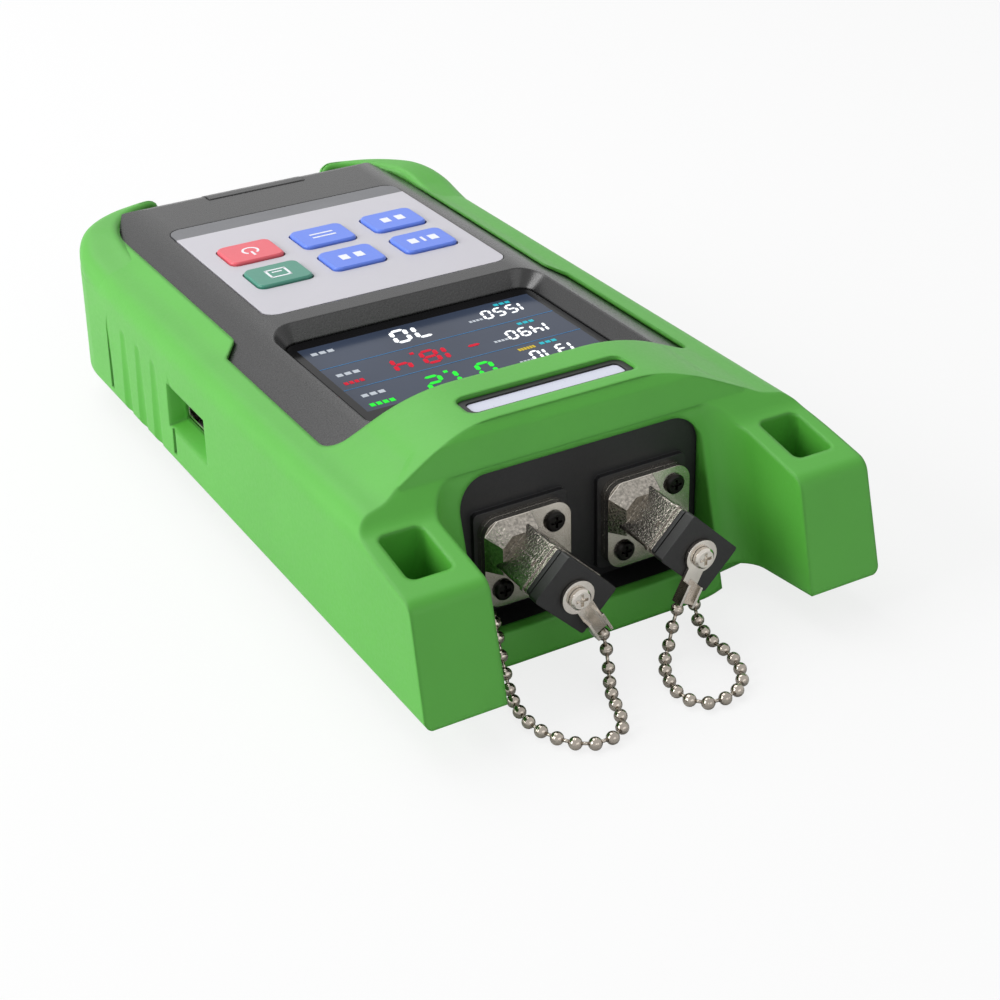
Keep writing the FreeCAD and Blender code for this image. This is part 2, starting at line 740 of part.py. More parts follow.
def detector(side):
    """Photodiode in its can, behind one port."""
    x = port_x(side)
    y0 = flange_back + 9.3
    can = cylinder_y(3.6, y0, y0 + 4.2, x, port_z)
    brim = cylinder_y(4.3, y0 + 4.2, y0 + 4.9, x, port_z)
    legs = [cylinder_y(0.3, y0 + 4.8, y0 + 8.0, x + dx, port_z + dz)
            for dx, dz in ((-1.3, 0), (1.3, 0), (0, 1.3))]
    shape = can.fuse(brim)
    for leg in legs:
        shape = shape.fuse(leg)
    return shape


def filter_block():
    """Wavelength filter module between the two detectors."""
    y0 = flange_back + 10.0
    x = port_pitch / 2 - 5.2
    return rounded(-x, x, y0, y0 + 16.0, port_z - 5.0, port_z + 4.0, 1.0)


def label_frame():
    z = housing_top + boot_gap + 1.05
    outer = label_seat(0.0, z).common(box(-past, past, 0, 200, 0, ridge_height - 0.75))
    return outer.cut(label_room(0.0, z + 0.5, past))


def label_room(gap, z0, z1):
    half = label_half - label_rim - gap
    return rounded(-half, half, label_y0 + label_rim + gap, label_y1 - label_rim - gap, z0, z1, 1.1)


def label_plate():
    z = housing_top + boot_gap + 1.6
    return label_room(0.1, z, z + 0.5)


# ---------------------------------------------------------------- adapters
def flange_plate(y0, y1):
    plate = block_y(flange_side, flange_side, y0, y1, flange_corner)
    plate = plate.cut(cylinder_y(spigot_r + 0.05, y0 - 1, y1 + 1))
    for s in (-1, 1):
        plate = plate.cut(cylinder_y(screw_r + 0.05, y0 - 1, y1 + 1, s * screw_offset, s * screw_offset))
    return plate


def adapter_base(side):
    return flange_plate(flange_back, pad_front).translated(V(port_x(side), 0, port_z))


def corner_block():
    """Raised corner of the flange, with bevelled sides."""
    h = flange_side / 2
    c = flange_corner * 0.8
    foot = [(-h, -0.6), (-h, h - c), (-h + c, h), (0.6, h)]
    tip = [(x * block_taper, z * block_taper) for x, z in foot]
    low = Part.makePolygon([V(x, flange_front + 0.01, z) for x, z in foot + foot[:1]])
    high = Part.makePolygon([V(x, flange_front - block_height, z) for x, z in tip + tip[:1]])
    return Part.makeLoft([low, high], True, True)


def adapter(side):
    """Flange, rectangular body turned 45 degrees, raised corner and rear spigot."""
    flange = block_y(flange_side, flange_side, flange_front, flange_back, flange_corner)
    body = block_y(body_long, body_short, body_front, flange_front + 0.01, 0.6)
    lip = block_y(body_long + 0.5, body_short + 0.5, body_front + 0.9, body_front + 1.7, 0.7)
    rib = box(-body_long / 2 - 0.35, -body_long / 2 + 0.2, body_front + 2.6, flange_front - 2.9, -0.6, 0.6)
    body = body.fuse(lip).fuse(rib)
    body.rotate(V(0, 0, 0), V(0, 1, 0), 45)
    shape = flange.fuse(body).fuse(corner_block())
    shape = shape.fuse(cylinder_y(spigot_r, flange_back - 0.01, flange_back + 9.0))
    room = block_y(bore_long, bore_short, body_front - 1.0, flange_front - 0.4, 0.4)
    room.rotate(V(0, 0, 0), V(0, 1, 0), 45)
    shape = shape.cut(room)
    for s in (-1, 1):
        shape = shape.cut(cylinder_y(screw_r + 0.05, 0.0, past, s * screw_offset, s * screw_offset))
    shape = shape.cut(cylinder_y(sleeve_r + 0.02, 0.0, flange_back + 3.0))
    shape = shape.cut(cylinder_y(sleeve_bore, 0.0, past))
    return shape.translated(V(port_x(side), 0, port_z))


def ferrule_sleeve(side):
    y1 = flange_back + 2.9
    tube = cylinder_y(sleeve_r, y1 - sleeve_length, y1)
    tube = tube.cut(cylinder_y(sleeve_bore, 0.0, past))
    tube = tube.cut(box(-0.2, 0.2, 0.0, past, 0.0, 5.0))
    return tube.translated(V(port_x(side), 0, port_z))


def adapter_screws(side):
    screws = []
    for s in (-1, 1):
        head = cylinder_y(screw_head_r, flange_front - screw_head_h, flange_front - 0.02)
        top = [e for e in head.Edges if e.CenterOfMass.y < flange_front - screw_head_h + 0.01]
        head = head.makeChamfer(0.35, top)
        shank = cylinder_y(screw_r, flange_front - 0.1, housing_front + 2.0)
        screw = head.fuse(shank).cut(cross_recess(2.2, 0.55, flange_front - screw_head_h))
        screws.append(screw.translated(V(port_x(side) + s * screw_offset, 0,
                                         port_z + s * screw_offset)))
    return Part.makeCompound(screws)


# ---------------------------------------------------------------- dust caps
def dust_cap(side):
    plate = block_y(cap_long, cap_short, plate_front, plate_back, 0.6)
    neck = block_y(cap_long - 2.2, cap_short - 2.0, plate_back - 0.01, plate_back + neck_thick + 0.01, 0.5)
    collar = block_y(body_long, body_short, plate_back + neck_thick, cap_back, 0.6)
    plug = block_y(bore_long - 2 * fit, bore_short - 2 * fit, cap_back - 0.01, cap_back + plug_length, 0.4)
    cap = plate.fuse(neck).fuse(collar).fuse(plug)
    cap.rotate(V(0, 0, 0), V(0, 1, 0), 45)
    cap = cap.cut(cylinder_y(sleeve_r + 0.35, cap_back + 2.5, past))
    cap = cap.cut(cylinder_y(cap_screw_r + 0.02, 0.0, cap_back + 2.0))
    return cap.translated(V(port_x(side), 0, port_z))


def cap_screw(side):
    y0 = head_back - cap_head_h
    head = cylinder_y(cap_head_r, y0, head_back)
    head = head.makeChamfer(0.4, [e for e in head.Edges if e.CenterOfMass.y < y0 + 0.01])
    shank = cylinder_y(cap_screw_r, head_back - 0.1, cap_back + 1.8)
    screw = head.fuse(shank).cut(cross_recess(2.4, 0.6, y0))
    return screw.translated(V(port_x(side), 0, port_z))


def lug_angle(side):
    return lug_angle_left if side < 0 else lug_angle_right


def ring_lug(side):
    """Eyelet under the cap screw, with a channel that grips the chain's end."""
    y0, y1 = lug_back - lug_thick, lug_back
    ring = cylinder_y(lug_r, y0, y1)
    arm = box(-lug_width / 2, lug_width / 2, y0, y1, -lug_reach, -lug_r + 0.8)
    walls = box(-lug_width / 2, lug_width / 2, y0 - 1.7, y1, -lug_reach, -lug_r - 1.9)
    walls = walls.cut(box(-lug_width / 2 + 0.5, lug_width / 2 - 0.5, y0 - 3.0, y0, -lug_reach - 1, 0))
    lug = ring.fuse(arm).fuse(walls).cut(cylinder_y(lug_bore, 0.0, past))
    return along_y(lug, -lug_angle(side), port_x(side), port_z, 0.0)


def lug_end(side):
    """Centre of the last bead, just outside the lug."""
    a = math.radians(lug_angle(side))
    reach = lug_reach + bead_r + 0.15
    return V(port_x(side) + reach * math.sin(a), lug_back - lug_thick / 2, port_z - reach * math.cos(a))


def bead(centre, direction):
    """A pressed ball with flat facets, turned about the chain's own line."""
    sides, rings = 10, 6
    levels = [math.pi * i / rings for i in range(rings + 1)]
    circles = []
    for a in levels[1:-1]:
        r = bead_r * math.sin(a)
        turns = [2 * math.pi * k / sides for k in range(sides)]
        circles.append([V(r * math.cos(t), r * math.sin(t), -bead_r * math.cos(a)) for t in turns])
    faces = []
    for low, high in zip(circles, circles[1:]):
        for k in range(sides):
            n = (k + 1) % sides
            faces.append(Part.Face(Part.makePolygon([low[k], low[n], high[n], high[k], low[k]])))
    for ring in (circles[0], circles[-1]):
        faces.append(Part.Face(Part.makePolygon(ring + ring[:1])))
    ball = Part.Solid(Part.Shell(faces))
    if ball.Volume < 0:
        ball.reverse()
    ball.Placement = FreeCAD.Placement(centre, FreeCAD.Rotation(V(0, 0, 1), direction))
    return ball


def link(start, end):
    """Thin six-sided wire between two beads."""
    step = end - start
    corners = [V(link_r * math.cos(math.pi * k / 3), link_r * math.sin(math.pi * k / 3), 0) for k in range(6)]
    wire = prism(corners, V(0, 0, step.Length))
    wire.Placement = FreeCAD.Placement(start, FreeCAD.Rotation(V(0, 0, 1), step))
    return wire


def chain_route(side):
    """Chain from its hole in the panel, over the lip, along the table and up to the lug."""
    floor = bead_r + 0.05
    end = lug_end(side)
    if side < 0:
        middle = [(-20.6, 24.4, 7.3), (-21.9, 20.2, 7.7), (-23.1, 16.9, 5.4), (-24.0, 13.6, 2.6),
                  (-25.4, 9.6, floor), (-26.7, 4.6, floor), (-26.9, -0.4, floor), (-25.2, -5.8, floor),
                  (-21.6, -9.8, floor), (-18.0, -10.4, floor), (-14.8, -9.0, floor),
                  (-12.6, -4.7, floor), (-10.8, 0.3, floor), (-8.4, 4.9, floor + 0.2), (-7.1, 7.4, 3.4)]
    else:
        middle = [(20.4, 24.4, 7.3), (19.2, 20.2, 7.7), (17.4, 16.9, 5.6), (15.4, 13.4, 3.0),
                  (14.0, 9.4, floor), (13.2, 4.6, floor), (13.2, -0.6, floor), (12.2, -4.9, floor),
                  (9.5, -9.0, floor), (5.0, -10.9, floor), (0.6, -9.9, floor), (-1.0, -6.2, floor),
                  (-0.2, -1.4, floor), (2.0, 3.2, floor + 0.1), (5.3, 6.6, 2.6), (6.7, 7.6, 5.6)]
    start = V(side * anchor_x, panel_front - 0.3, anchor_z)
    return [start] + [V(*p) for p in middle] + [end]


def ball_chain(side):
    curve = Part.BSplineCurve()
    curve.interpolate(chain_route(side))
    line = curve.toShape()
    count = int(round(line.Length / bead_pitch))
    places = line.discretize(Number=count + 1)
    for place in places:
        place.z = max(place.z, bead_r + 0.05)
    balls = []
    for i, place in enumerate(places):
        before = places[max(i - 1, 0)]
        after = places[min(i + 1, count)]
        if i > 0:
            balls.append(bead(place, after - before))
    links = [link(a, b) for a, b in zip(places, places[1:])]
    return balls[0].multiFuse(balls[1:] + links)


def chain_anchor(side):
    """Headed pin that holds the chain in the panel."""
    head = cylinder_y(anchor_r + 0.7, housing_front + 0.1, housing_front + 1.0)
    pin = cylinder_y(anchor_r - 0.05, panel_front, housing_front + 0.2)
    return head.fuse(pin).translated(V(side * anchor_x, 0, anchor_z))


# ---------------------------------------------------------------- export
def build():
    nodes = {
        "protective_boot": protective_boot(), "front_shell": front_shell(),
        "rear_shell": rear_shell(), "port_panel": port_panel(),
        "display_window": display_window(), "lcd_module": lcd_module(),
        "keypad_overlay": keypad_overlay(), "key_domes": key_domes(),
        "main_board": main_board(), "board_screws": board_screws(),
        "display_cable": display_cable(), "battery_pack": battery_pack(),
        "battery_contacts": battery_contacts(), "battery_door": battery_door(),
        "battery_door_screw": door_screw(), "shell_screws": shell_screws(),
        "usb_socket": usb_socket(), "usb_tongue": usb_tongue(), "end_plug": end_plug(),
        "label_frame": label_frame(), "label_plate": label_plate(),
        "filter_block": filter_block(),
    }
    for name, x, y in key_places():
        nodes[name] = key_cap(x, y)
    paired = {"adapter": adapter, "adapter_base": adapter_base, "ferrule_sleeve": ferrule_sleeve,
              "adapter_screws": adapter_screws, "dust_cap": dust_cap, "cap_screw": cap_screw,
              "ring_lug": ring_lug, "ball_chain": ball_chain, "chain_anchor": chain_anchor,
              "detector": detector}
    for name, make in paired.items():
        nodes[name + "_left"] = make(-1)
        nodes[name + "_right"] = make(1)
    return nodes


os.makedirs("parts", exist_ok=True)
for node, shape in build().items():
    shape.translate(V(0, -length / 2, 0))
    shape.exportStep("parts/" + node + ".step")
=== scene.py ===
import math

import bmesh
import bpy
import numpy as np
from mathutils import Matrix, Vector


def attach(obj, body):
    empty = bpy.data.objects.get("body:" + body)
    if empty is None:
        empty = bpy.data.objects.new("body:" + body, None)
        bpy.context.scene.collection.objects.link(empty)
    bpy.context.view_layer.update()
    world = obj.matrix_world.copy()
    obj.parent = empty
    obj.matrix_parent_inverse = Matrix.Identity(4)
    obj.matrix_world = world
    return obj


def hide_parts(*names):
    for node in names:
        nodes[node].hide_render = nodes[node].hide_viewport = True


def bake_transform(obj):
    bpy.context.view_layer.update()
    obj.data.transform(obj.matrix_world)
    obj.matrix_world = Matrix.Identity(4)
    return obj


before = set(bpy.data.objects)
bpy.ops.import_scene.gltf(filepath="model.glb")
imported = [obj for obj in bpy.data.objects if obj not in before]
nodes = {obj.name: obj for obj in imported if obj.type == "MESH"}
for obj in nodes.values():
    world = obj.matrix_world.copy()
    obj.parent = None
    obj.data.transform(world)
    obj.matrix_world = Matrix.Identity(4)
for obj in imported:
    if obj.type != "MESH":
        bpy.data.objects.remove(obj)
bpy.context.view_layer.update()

scene = bpy.context.scene

# Sizes and places are in millimetres. Y counts from the boot's port end, X from the middle and
# Z from the base, except where a comment says that a place is in the room.
MM = 0.001
FRONT = -90.0             # the boot's port end, in the frame

# Display window and keypad
SCREEN_Z = 34.2
LIT_HALF = 25.85          # the display's lit area
LIT_NEAR, LIT_FAR = 59.0, 89.8
LINE_YS = (69.0, 79.5)    # between the display's three rows
LINE_WIDE = 0.16
STRIP_Y = 147.8           # where the overlay's darker strip begins
PRINT_THICK = 0.04
KEY_Z = 38.9
KEY_COLUMN = 16.9         # the outer keys' distance from the middle
KEY_NEAR, KEY_FAR = 117.75, 132.05

# Seven-segment figures: height, width, stroke
BIG = (6.2, 3.9, 0.95)
SMALL = (4.2, 2.3, 0.6)
TINY = (1.7, 0.9, 0.28)
SLANT = 0.14
SEGMENT_GAP = 0.16        # share of the stroke

# Ports
FLANGE_Y = 24.3           # the adapter's body is nearer than this, its flange is beyond

# The boot's far end
BOOT_HALF = 46.5
FAR_END = 180.0
FAR_RADIUS = 24.0
WALL_DRAFT = 0.8          # how far the wall leans in between its foot and its top
WALL_FOOT, WALL_TOP = 7.3, 33.1
OPENING_HALF = 35.2
OPENING_END = 176.5
OPENING_RADIUS = 17.0
BOOT_RIM_Z = 33.15        # the boot's own rim at its outer edge
RIM_SLOPES = ((0.8, 0.14), (7.8, 0.30))       # from each inset inward it climbs this much more

# The raised rims at the far corners
RIM_START = 142.0         # where a rim begins to rise out of the boot
RIM_STOP = 20.3           # where it ends, beside the gap at the far end
RIM_HIGH = 37.2
RIM_RISE = 30.0           # the run over which it rises
RIM_SUNK = 0.5            # how deep it lies under the boot where it begins
RIM_ROUND = 3.0
RIM_SOFTER = 1.6          # how much rounder it is where it begins
RIM_INNER_ROUND = 1.6
RIM_END_ROUND = 3.0
RIM_LOW, RIM_INNER_LOW = 28.6, 33.0
RIM_INSET = 0.05          # how far its outer face stays inside the boot's wall
RIM_BACK = 0.12           # how far its inner face stays back from the opening
RIM_STATIONS = 70

# Ball chains
BEAD_PITCH = 3.3
LINK_R = 0.32
LINK_INSET = 0.9          # from a ball's middle to where its link comes out
CHAIN_FLOOR = 1.25        # height of a ball's middle that lies on the table
PORT_HALF = 12.65
PORT_Z = 17.2
LUG_Y = 8.15
LUG_END = 10.55           # from the port's axis to the chain's last ball
LUG_TURN = {"left": (-1, 29.0), "right": (1, -27.0)}     # side, and degrees about the port
ROUTES = {
    "left": [(-20.6, 27.7, 7.0), (-20.6, 24.4, 7.3), (-21.9, 20.2, 7.7), (-23.1, 16.9, 5.4),
             (-24.0, 13.6, 2.6), (-25.4, 9.6, CHAIN_FLOOR), (-26.7, 4.6, CHAIN_FLOOR),
             (-26.9, -0.4, CHAIN_FLOOR), (-25.2, -5.8, CHAIN_FLOOR), (-21.6, -9.8, CHAIN_FLOOR),
             (-18.0, -10.4, CHAIN_FLOOR), (-14.8, -9.0, CHAIN_FLOOR), (-12.6, -4.7, CHAIN_FLOOR),
             (-10.8, 0.3, CHAIN_FLOOR), (-8.4, 4.9, CHAIN_FLOOR + 0.2), (-7.1, 7.4, 3.4)],
    "right": [(20.6, 27.7, 7.0), (20.4, 24.4, 7.3), (19.2, 20.2, 7.7), (17.4, 16.9, 5.6),
              (15.4, 13.4, 3.0), (14.0, 9.4, CHAIN_FLOOR), (13.2, 4.6, CHAIN_FLOOR),
              (13.2, -0.6, CHAIN_FLOOR), (12.2, -4.9, CHAIN_FLOOR), (9.5, -9.0, CHAIN_FLOOR),
              (5.0, -10.9, CHAIN_FLOOR), (0.6, -9.9, CHAIN_FLOOR), (-1.0, -6.2, CHAIN_FLOOR),
              (-0.2, -1.4, CHAIN_FLOOR), (2.0, 3.2, CHAIN_FLOOR + 0.1), (5.3, 6.6, 2.6),
              (6.7, 7.6, 5.6)],
}
# A ball's radius and place along the chain, with the groove round its middle
BALL = [(0.34, -1.19), (0.50, -1.10), (0.78, -0.92), (1.02, -0.64), (1.15, -0.34), (1.195, -0.06),
        (1.165, 0.0), (1.195, 0.06), (1.15, 0.34), (1.02, 0.64), (0.78, 0.92), (0.50, 1.10),
        (0.34, 1.19)]


# ------------------------------------------------------------------ materials
def linear(r, g, b):
    """An sRGB colour, 0 to 255, as Blender's linear colour."""
    out = []
    for c in (r, g, b):
        c /= 255.0
        out.append(c / 12.92 if c <= 0.04045 else ((c + 0.055) / 1.055) ** 2.4)
    return (*out, 1.0)


def shade(colour, factor):
    return (*[min(1.0, c * factor) for c in colour[:3]], 1.0)


class Shader:
    """One material's node tree, with the steps that the looks below share."""

    def __init__(self, name):
        self.mat = bpy.data.materials.new(name)
        self.mat.use_nodes = True
        self.tree = self.mat.node_tree
        self.tree.nodes.clear()
        self.out = self.add("ShaderNodeOutputMaterial")
        self.bsdf = self.add("ShaderNodeBsdfPrincipled")
        self.link(self.bsdf, "BSDF", self.out, "Surface")
        self.coord = self.add("ShaderNodeTexCoord")

    def add(self, kind, **values):
        node = self.tree.nodes.new(kind)
        for key, value in values.items():
            setattr(node, key, value)
        return node

    def link(self, a, socket_a, b, socket_b):
        self.tree.links.new(a.outputs[socket_a], b.inputs[socket_b])

    def noise(self, scale, detail=2.0):
        node = self.add("ShaderNodeTexNoise")
        node.inputs["Scale"].default_value = scale
        node.inputs["Detail"].default_value = detail
        self.link(self.coord, "Object", node, "Vector")
        return node

    def clouds(self, noise, dark, light):
        """Soft clouds between two colours."""
        node = self.add("ShaderNodeValToRGB")
        low, high = node.color_ramp.elements
        low.position, low.color = 0.3, dark
        high.position, high.color = 0.7, light
        self.link(noise, "Fac", node, "Fac")
        return node

    def tint(self, noise, colour, vary):
        """Clouds of one colour, from a little darker to a little lighter."""
        clouds = self.clouds(noise, shade(colour, 1 - vary), shade(colour, 1 + vary))
        self.link(clouds, "Color", self.bsdf, "Base Color")

    def roughness(self, noise, middle, vary):
        level = self.add("ShaderNodeMapRange")
        level.inputs["To Min"].default_value = max(0.03, middle - vary)
        level.inputs["To Max"].default_value = middle + vary
        self.link(noise, "Fac", level, "Value")
        self.link(level, "Result", self.bsdf, "Roughness")

    def bump(self, noise, depth, strength, soft_edge):
        """Grain of this depth, on edges softened by this radius."""
        node = self.add("ShaderNodeBump")
        node.inputs["Distance"].default_value = depth * MM
        node.inputs["Strength"].default_value = strength
        self.link(noise, "Fac", node, "Height")
        if soft_edge:
            bevel = self.add("ShaderNodeBevel", samples=6)
            bevel.inputs["Radius"].default_value = soft_edge * MM
            self.link(bevel, "Normal", node, "Normal")
        self.link(node, "Normal", self.bsdf, "Normal")

    def compare(self, axis, test, place):
        """1 where a coordinate passes the test against a place in the frame, and 0 elsewhere."""
        split = self.add("ShaderNodeSeparateXYZ")
        self.link(self.coord, "Object", split, "Vector")
        node = self.add("ShaderNodeMath", operation=test)
        self.link(split, axis, node, 0)
        node.inputs[1].default_value = place * MM
        return node

    def times(self, first, second):
        node = self.add("ShaderNodeMath", operation="MULTIPLY")
        self.link(first, 0, node, 0)
        self.link(second, 0, node, 1)
        return node

    def recolour(self, where, clouds):
        """Put another colour where the mask is 1."""
        old = self.bsdf.inputs["Base Color"].links[0].from_node
        mix = self.add("ShaderNodeMix", data_type="RGBA")
        self.link(where, 0, mix, "Factor")
        self.link(old, "Color", mix, "A")
        self.link(clouds, "Color", mix, "B")
        self.link(mix, "Result", self.bsdf, "Base Color")
        return mix


def plastic(name, colour, rough=0.5, vary=0.06, grain=900.0, depth=0.03, soft_edge=0.2,
            specular=0.5, rough_vary=0.08):
    """Moulded plastic, rubber, film or glass: slight clouds, fine grain and softened edges."""
    look = Shader(name)
    look.tint(look.noise(60.0, 3.0), colour, vary)
    fine = look.noise(grain)
    look.roughness(fine, rough, rough_vary)
    look.bsdf.inputs["Specular IOR Level"].default_value = specular
    look.bump(fine, depth, 0.6, soft_edge)
    return look


def metal(name, colour, rough=0.25, vary=0.12, grain=700.0, depth=0.02, soft_edge=0.12,
          cloud=250.0):
    """Bare or plated metal, with its own scale of clouds."""
    look = Shader(name)
    look.tint(look.noise(cloud, 3.0), colour, vary)
    look.bsdf.inputs["Metallic"].default_value = 1.0
    fine = look.noise(grain, 3.0)
    look.roughness(fine, rough, 0.08)
    look.bump(fine, depth, 0.5, soft_edge)
    return look


def screen_glass():
    """Dark glass with the display's lit area under it."""
    look = plastic("display_glass", linear(10, 10, 12), rough=0.14, vary=0.2, grain=2400.0,
                   depth=0.004, soft_edge=0.1, specular=0.2, rough_vary=0.02)
    across = look.times(look.compare("X", "GREATER_THAN", -LIT_HALF),
                        look.compare("X", "LESS_THAN", LIT_HALF))
    along = look.times(look.compare("Y", "GREATER_THAN", FRONT + LIT_NEAR),
                       look.compare("Y", "LESS_THAN", FRONT + LIT_FAR))
    blue = look.clouds(look.noise(40.0), linear(47, 56, 74), linear(55, 65, 84))
    mix = look.recolour(look.times(across, along), blue)
    look.bsdf.inputs["Emission Strength"].default_value = 0.12
    look.link(mix, "Result", look.bsdf, "Emission Color")
    return look


def overlay_film():
    """Printed film: pale over the keys, darker along its far end."""
    look = plastic("overlay_film", linear(196, 194, 201), rough=0.38, vary=0.015, grain=2600.0,
                   depth=0.01, soft_edge=0.1)
    grey = look.clouds(look.noise(90.0), linear(98, 99, 103), linear(106, 107, 111))
    look.recolour(look.compare("Y", "GREATER_THAN", FRONT + STRIP_Y), grey)
    return look


def cast_nickel():
    """Plated casting: grainy on the adapter's body, smooth and paler on its flange."""
    look = metal("cast_nickel", linear(152, 147, 139), rough=0.24, vary=0.35, grain=2400.0,
                 depth=0.22, cloud=1900.0)
    flange = look.compare("Y", "GREATER_THAN", FRONT + FLANGE_Y)
    satin = look.clouds(look.noise(300.0), linear(190, 184, 175), linear(204, 198, 189))
    look.recolour(flange, satin)
    grain = look.add("ShaderNodeMath", operation="MULTIPLY_ADD")
    look.link(flange, 0, grain, 0)
    grain.inputs[1].default_value = -0.46
    grain.inputs[2].default_value = 0.5
    bump = look.bsdf.inputs["Normal"].links[0].from_node
    look.link(grain, 0, bump, "Strength")
    return look


def key_plastic(name, colour):
    return plastic(name, colour, rough=0.34, vary=0.03, grain=1500.0, depth=0.01, soft_edge=0.3)


def print_ink(name, colour, specular=0.5, depth=0.004):
    return plastic(name, colour, rough=0.4, vary=0.02, grain=2600.0, depth=depth, soft_edge=0.0,
                   specular=specular)


def glow(name, colour, strength):
    """A lit mark on the display."""
    look = print_ink(name, colour, specular=0.08, depth=0.002)
    look.bsdf.inputs["Emission Color"].default_value = colour
    look.bsdf.inputs["Emission Strength"].default_value = strength
    return look


green = plastic("green_rubber", linear(84, 170, 60), rough=0.44, vary=0.03, grain=1400.0,
                soft_edge=1.2, specular=0.42)
housing = plastic("shell_plastic", linear(24, 24, 25), rough=0.28, grain=2600.0, soft_edge=0.6,
                  specular=0.6)
black = plastic("black_plastic", linear(15, 15, 17), vary=0.1, grain=2200.0)
cap_black = plastic("cap_plastic", linear(10, 10, 11), rough=0.46, vary=0.1, grain=2200.0)
panel = plastic("panel_plastic", linear(22, 22, 24), vary=0.08, grain=2200.0, depth=0.04)
cable_film = plastic("cable_film", linear(196, 150, 70), rough=0.38, vary=0.05, grain=2600.0,
                     depth=0.01, soft_edge=0.1)
label_film = plastic("label_film", linear(214, 216, 232), rough=0.3, vary=0.015, grain=1800.0,
                     depth=0.01, soft_edge=0.1)
ceramic = plastic("ceramic", linear(238, 236, 230), rough=0.2, vary=0.02)
board = plastic("board_green", linear(30, 96, 52), rough=0.4, vary=0.15)
wrap = plastic("battery_wrap", linear(40, 46, 92), rough=0.3, vary=0.1)
key_red = key_plastic("key_red", linear(226, 92, 104))
key_green = key_plastic("key_green", linear(66, 138, 118))
key_blue = key_plastic("key_blue", linear(96, 130, 232))
screen = screen_glass()
overlay = overlay_film()
nickel = metal("nickel", linear(204, 198, 190), rough=0.16)
casting = cast_nickel()
# The balls' nickel is darker than the other nickel: painted shade that stands in for the dim
# reflections on the balls.
shade_darkened_bead_metal = metal("bead_nickel_shade_darkened", linear(164, 156, 146), rough=0.1, grain=900.0, depth=0.01,
                   soft_edge=0.0)
black_steel = metal("black_steel", linear(38, 37, 36), rough=0.34, vary=0.2)
gold = metal("gold_can", linear(214, 178, 96))

key_ink = print_ink("key_print", linear(238, 240, 245))
white_ink = glow("screen_white", linear(235, 238, 240), 0.55)
grey_ink = glow("screen_grey", linear(176, 182, 190), 0.3)
green_ink = glow("screen_green", linear(30, 215, 50), 0.45)
red_ink = glow("screen_red", linear(186, 6, 40), 0.4)
line_ink = glow("screen_line", linear(60, 120, 170), 0.2)
yellow_ink = glow("screen_yellow", linear(190, 165, 40), 0.3)
cyan_ink = glow("screen_cyan", linear(40, 170, 185), 0.3)

LOOKS = {
    "protective_boot": green, "front_shell": housing, "rear_shell": housing, "end_plug": housing,
    "battery_door": housing, "port_panel": panel, "display_window": screen, "lcd_module": black,
    "keypad_overlay": overlay, "key_domes": nickel, "main_board": board, "board_screws": nickel,
    "display_cable": cable_film, "battery_pack": wrap, "battery_contacts": nickel,
    "battery_door_screw": black_steel, "shell_screws": black_steel, "usb_socket": nickel,
    "usb_tongue": black, "label_frame": black, "label_plate": label_film, "filter_block": black,
    "power_key": key_red, "save_key": key_green, "menu_key": key_blue, "enter_key": key_blue,
    "wavelength_key": key_blue, "reference_key": key_blue,
}
PAIRED_LOOKS = {
    "adapter": casting, "adapter_base": casting, "ferrule_sleeve": ceramic,
    "adapter_screws": black_steel, "dust_cap": cap_black, "cap_screw": nickel, "ring_lug": nickel,
    "ball_chain": nickel, "chain_anchor": nickel, "detector": gold,
}


def paint(name, look):
    node = nodes[name]
    node.data.materials.clear()
    node.data.materials.append(look.mat)


def paint_solids():
    for name, look in LOOKS.items():
        paint(name, look)
    for name, look in PAIRED_LOOKS.items():
        for side in ("left", "right"):
            paint(name + "_" + side, look)


# ------------------------------------------------------------------ flat prints
def new_object(name, mesh, look, body="meter"):
    obj = bpy.data.objects.new(name, mesh)
    scene.collection.objects.link(obj)
    mesh.materials.append(look.mat)
    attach(obj, body)
    return obj


def mesh_from(bm, name):
    mesh = bpy.data.meshes.new(name)
    bm.to_mesh(mesh)
    bm.free()
    return mesh


def prints(name, outlines, z, look, body="meter"):
    """Thin raised print: each outline is a list of (x, y)."""
    bm = bmesh.new()
    for outline in outlines:
        low, high = [[bm.verts.new((x * MM, (y + FRONT) * MM, level * MM)) for x, y in outline]
                     for level in (z, z + PRINT_THICK)]
        bm.faces.new(list(reversed(low)))
        bm.faces.new(high)
        for k in range(len(low)):
            bm.faces.new((low[k - 1], low[k], high[k], high[k - 1]))
    bmesh.ops.recalc_face_normals(bm, faces=bm.faces)
    new_object(name, mesh_from(bm, name), look, body)


def bar(x, y, w, h):
    """A rectangle round x, y."""
    return [(x - w / 2, y - h / 2), (x + w / 2, y - h / 2),
            (x + w / 2, y + h / 2), (x - w / 2, y + h / 2)]


def word(x, y, w, h, letters=3):
    """A short row of blocks round x, y that stands for a printed word."""
    step = w / letters
    return [bar(x - w / 2 + step * (i + 0.5), y, step * 0.72, h) for i in range(letters)]


def arc_band(x, y, r, w, start, end, steps=28):
    """Part of a ring, between two angles in degrees, as one outline."""
    angles = [math.radians(start + (end - start) * i / steps) for i in range(steps + 1)]
    outer = [(x + r * math.cos(a), y + r * math.sin(a)) for a in angles]
    inner = [(x + (r - w) * math.cos(a), y + (r - w) * math.sin(a)) for a in reversed(angles)]
    return outer + inner


SEGMENTS = {
    "0": "abcdef", "1": "bc", "2": "abged", "3": "abgcd", "4": "fgbc", "5": "afgcd",
    "6": "afgedc", "7": "abc", "8": "abcdefg", "9": "abcdfg", "-": "g",
}


